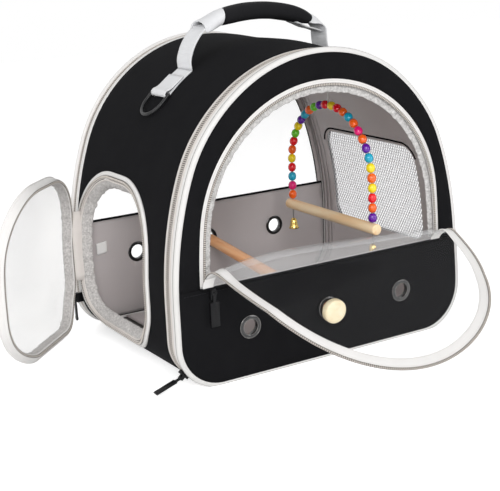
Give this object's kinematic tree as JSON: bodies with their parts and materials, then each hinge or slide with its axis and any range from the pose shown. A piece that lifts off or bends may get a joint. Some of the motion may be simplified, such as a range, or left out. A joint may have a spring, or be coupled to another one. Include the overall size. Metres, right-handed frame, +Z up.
{
  "type": "bird travel carrier",
  "caption": "Soft-sided arched carrier for a small bird, with a clear drop-down window, a side door, a mesh window, a wooden perch, a beaded swing and a padded top handle.",
  "frame": {"origin": "on the underside, midway between the sides and midway between the front and rear piping", "axes": "-Y out of the front window, +X towards the mesh window, +Z up"},
  "size_m": [0.626, 0.5303, 0.4465],
  "materials": {
    "black_fabric": "coarse black canvas weave, matte",
    "white_trim": "white piping cloth, matte",
    "zip_tape": "beige zip tape with coil teeth",
    "gathered_binding": "gathered elastic binding",
    "grey_lining": "smooth grey lining cloth",
    "board": "stiff board",
    "mesh_net": "open polyester net",
    "strap_webbing": "light grey woven webbing",
    "grip_cover": "padded black grained cover",
    "gunmetal": "dark gunmetal plating, satin",
    "pull_black": "black cast pull",
    "wire": "plain steel wire",
    "bell_brass": "polished brass",
    "bead_plastic": "many colours, glossy",
    "perch_wood": "smooth round dowel",
    "pale_wood": "pale turned wood",
    "clear_sheet": "clear flexible film"
  },
  "bodies": {
    "carrier": {"gusset": "black_fabric", "base_panel": "black_fabric", "gusset_lining": "grey_lining", "base_board": "board", "floor_mat": "grey_lining", "hinge_strips": "black_fabric", "body_zips": "zip_tape", "door_collar": "white_trim", "door_collar_zip": "zip_tape", "door_binding": "gathered_binding", "mesh_window": "mesh_net", "mesh_binding": "black_fabric", "shoulder_straps": "strap_webbing", "door_tab_anchor": "zip_tape", "swing_ceiling_loop": "strap_webbing", "door_slider": "gunmetal"},
    "front_panel": {"front_arch_face": "black_fabric", "front_lower_face": "black_fabric", "front_lining": "grey_lining", "front_piping": "white_trim", "front_rim": "white_trim", "front_zip": "zip_tape", "window_zip": "zip_tape", "window_binding": "gathered_binding", "front_grommets": "gunmetal", "window_slider": "gunmetal", "front_slider": "gunmetal"},
    "window_pull": {"window_pull": "pull_black"},
    "front_pull": {"front_pull": "pull_black"},
    "perch": {"perch_dowel": "perch_wood", "perch_knob": "pale_wood"},
    "flap_fold": {"fold_strip": "clear_sheet"},
    "window_flap": {"flap_sheet": "clear_sheet", "flap_border": "white_trim", "flap_zip": "zip_tape"},
    "rear_panel": {"rear_lower_face": "black_fabric", "rear_border": "black_fabric", "rear_window": "clear_sheet", "rear_piping": "white_trim", "rear_zip": "zip_tape", "rear_grommets": "gunmetal", "rear_slider": "gunmetal"},
    "rear_pull": {"rear_pull": "pull_black"},
    "side_door": {"door_tab": "zip_tape", "door_sheet": "clear_sheet", "door_rim": "white_trim", "door_zip": "zip_tape"},
    "door_pull": {"door_pull": "gunmetal"},
    "swing": {"swing_hook": "wire", "swing_wire": "wire", "swing_dowel": "perch_wood", "beads": "bead_plastic"},
    "front_bell": {"front_bell": "bell_brass", "front_clapper": "wire"},
    "rear_bell": {"rear_bell": "bell_brass", "rear_clapper": "wire"},
    "handle": {"handle_webbing": "strap_webbing", "handle_grip": "grip_cover"},
    "ring_left": {"d_ring_left": "gunmetal"},
    "ring_right": {"d_ring_right": "gunmetal"}
  },
  "joints": [
    {"name": "front_open", "type": "hinge", "parent": "carrier", "child": "front_panel", "pos_m": [0, -0.1566, 0.003], "axis": [1, 0, 0], "range_deg": [0, 75]},
    {"name": "window_pull_swing", "type": "hinge", "parent": "front_panel", "child": "window_pull", "pos_m": [-0.17, -0.1647, 0.122], "axis": [0, 1, 0], "range_deg": [-70, 70]},
    {"name": "front_pull_lift", "type": "hinge", "parent": "front_panel", "child": "front_pull", "pos_m": [-0.20809, -0.1389, 0.0139], "axis": [0, 1, 0], "range_deg": [0, 75]},
    {"name": "perch_slide", "type": "slide", "parent": "front_panel", "child": "perch", "axis": [0, -0.9956, -0.0939], "range_m": [0, 0.28]},
    {"name": "flap_fold", "type": "hinge", "parent": "front_panel", "child": "flap_fold", "pos_m": [0, -0.1601, 0.129], "axis": [-1, 0, 0], "range_deg": [-6.5, 55]},
    {"name": "flap_swing", "type": "hinge", "parent": "flap_fold", "child": "window_flap", "pos_m": [0, -0.1814, 0.14391], "axis": [-1, 0, 0], "range_deg": [-6.5, 55]},
    {"name": "rear_open", "type": "hinge", "parent": "carrier", "child": "rear_panel", "pos_m": [0, 0.1566, 0.003], "axis": [-1, 0, 0], "range_deg": [0, 85]},
    {"name": "rear_pull_lift", "type": "hinge", "parent": "rear_panel", "child": "rear_pull", "pos_m": [0.20809, 0.1499, 0.0139], "axis": [0, -1, 0], "range_deg": [0, 75]},
    {"name": "door_swing", "type": "hinge", "parent": "carrier", "child": "side_door", "pos_m": [-0.2263, 0.1355, 0.075], "axis": [0, 0, -1], "range_deg": [-46, 24]},
    {"name": "door_pull_swing", "type": "hinge", "parent": "carrier", "child": "door_pull", "pos_m": [-0.2275, 0.136, 0.054], "axis": [1, 0, 0], "range_deg": [0, 30]},
    {"name": "swing_sway", "type": "hinge", "parent": "carrier", "child": "swing", "pos_m": [0.098, -0.029, 0.3459], "axis": [0, 1, 0], "range_deg": [-20, 20]},
    {"name": "front_bell_swing", "type": "hinge", "parent": "swing", "child": "front_bell", "pos_m": [0.098, -0.125, 0.1236], "axis": [1, 0, 0], "range_deg": [-25, 25]},
    {"name": "rear_bell_swing", "type": "hinge", "parent": "swing", "child": "rear_bell", "pos_m": [0.098, 0.067, 0.1236], "axis": [1, 0, 0], "range_deg": [-25, 25]},
    {"name": "handle_swing", "type": "hinge", "parent": "carrier", "child": "handle", "pos_m": [0, -0.008, 0.39152], "axis": [1, 0, 0], "range_deg": [-38, 38]},
    {"name": "ring_left_lift", "type": "hinge", "parent": "carrier", "child": "ring_left", "pos_m": [-0.14621, -0.008, 0.34351], "axis": [0, 1, 0], "range_deg": [0, 100]},
    {"name": "ring_right_lift", "type": "hinge", "parent": "carrier", "child": "ring_right", "pos_m": [0.14621, -0.008, 0.34351], "axis": [0, -1, 0], "range_deg": [0, 100]}
  ],
  "couplings": [
    {"joint": "flap_swing", "follows": "flap_fold", "ratio": 1}
  ]
}
